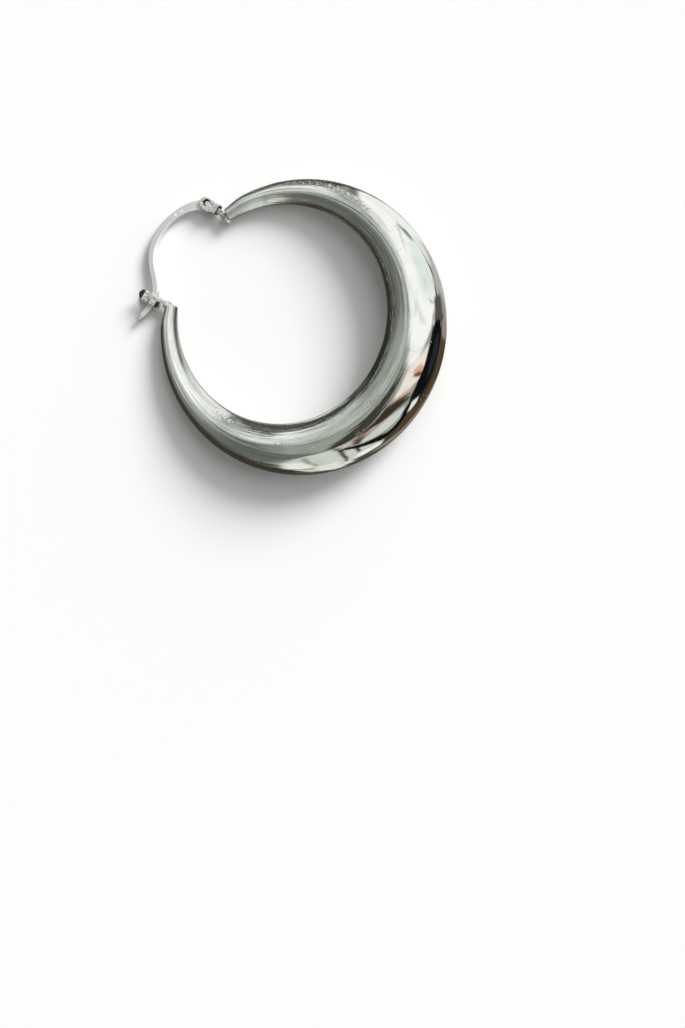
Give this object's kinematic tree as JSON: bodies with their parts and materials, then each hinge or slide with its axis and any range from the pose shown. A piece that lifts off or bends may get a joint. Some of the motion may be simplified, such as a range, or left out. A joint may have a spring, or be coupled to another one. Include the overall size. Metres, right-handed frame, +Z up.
{
  "type": "hoop earring",
  "caption": "Polished silver crescent hoop earring, thick at the bottom and fine at the tips, closed by a hinged saddle ear wire that snaps into a folded catch.",
  "frame": {"origin": "middle of the footprint, on the surface that the earring lies on", "axes": "+Z up from that surface with the hoop lying on its side, +Y from the thick bottom of the hoop towards the ear wire, +X towards the hinge side"},
  "size_m": [0.04, 0.0448, 0.0081],
  "materials": {
    "polished_silver": "mirror-polished silver with fine rubbing scratches and faint grey tarnish, hollow tube with soldered fittings",
    "drawn_silver": "flat drawn silver wire, satin-bright, with slight grey-green tarnish on its faces"
  },
  "bodies": {
    "hoop_body": {"hoop": "polished_silver", "hinge_rivet": "polished_silver"},
    "ear_wire_body": {"ear_wire": "drawn_silver"}
  },
  "joints": [
    {"name": "ear_wire_hinge", "type": "hinge", "parent": "hoop_body", "child": "ear_wire_body", "pos_m": [0.00738, 0.01793, 0.00109], "axis": [0, 0.0812, 0.9967], "range_deg": [-110, 0]}
  ]
}
